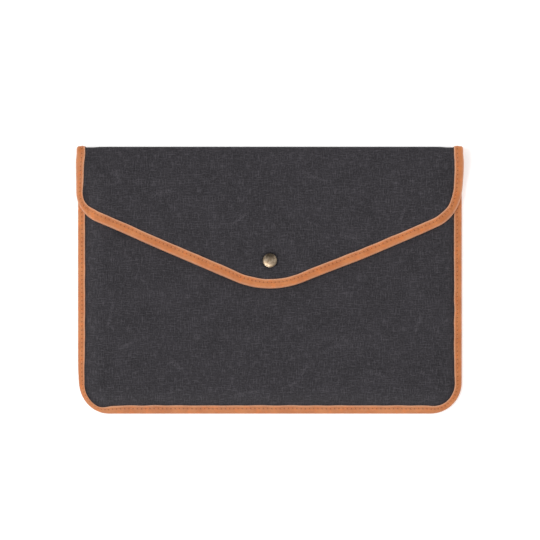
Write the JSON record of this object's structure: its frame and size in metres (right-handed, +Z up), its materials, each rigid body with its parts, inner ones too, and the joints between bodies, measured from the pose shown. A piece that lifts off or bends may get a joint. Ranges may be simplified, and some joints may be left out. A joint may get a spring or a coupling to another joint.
{
  "type": "laptop sleeve",
  "caption": "Padded canvas laptop sleeve with leather edge binding and a V-shaped flap that folds over the front and closes with a press stud.",
  "frame": {"origin": "on the surface the sleeve lies on, under the middle of its outline", "axes": "+X is the width, to the right as the closed front is looked at; +Y runs up the front to the fold; +Z is up out of the front, through the thickness"},
  "size_m": [0.346, 0.239, 0.0283],
  "materials": {
    "canvas": "waxed plain-weave cotton canvas, charcoal, matte",
    "lining": "short-pile brushed lining, grey, matte",
    "foam": "soft foam padding, matte",
    "leather": "vegetable-tanned tan leather, satin",
    "brass": "antique brass, satin",
    "washer": "matte"
  },
  "bodies": {
    "sleeve": {"back_canvas": "canvas", "back_foam": "foam", "back_lining": "lining", "front_canvas": "canvas", "front_foam": "foam", "front_lining": "lining", "mouth_binding": "leather", "body_binding": "leather", "snap_stud": "brass", "snap_eyelet": "brass", "front_washer": "washer"},
    "fold": {"fold_canvas": "canvas", "fold_foam": "foam", "fold_lining": "lining", "fold_binding_left": "leather", "fold_binding_right": "leather"},
    "flap": {"flap_canvas": "canvas", "flap_foam": "foam", "flap_lining": "lining", "flap_binding": "leather", "snap_cap": "brass", "snap_socket": "brass", "snap_spring": "brass", "flap_washer": "washer"}
  },
  "joints": [
    {"name": "back_crease", "type": "hinge", "parent": "sleeve", "child": "fold", "pos_m": [0, 0.11695, 0.00265], "axis": [-1, 0, 0], "range_deg": [0, 89]},
    {"name": "flap_crease", "type": "hinge", "parent": "fold", "child": "flap", "pos_m": [0, 0.11695, 0.02225], "axis": [-1, 0, 0], "range_deg": [0, 89]}
  ],
  "couplings": [
    {"joint": "back_crease", "follows": "flap_crease", "ratio": 1}
  ]
}
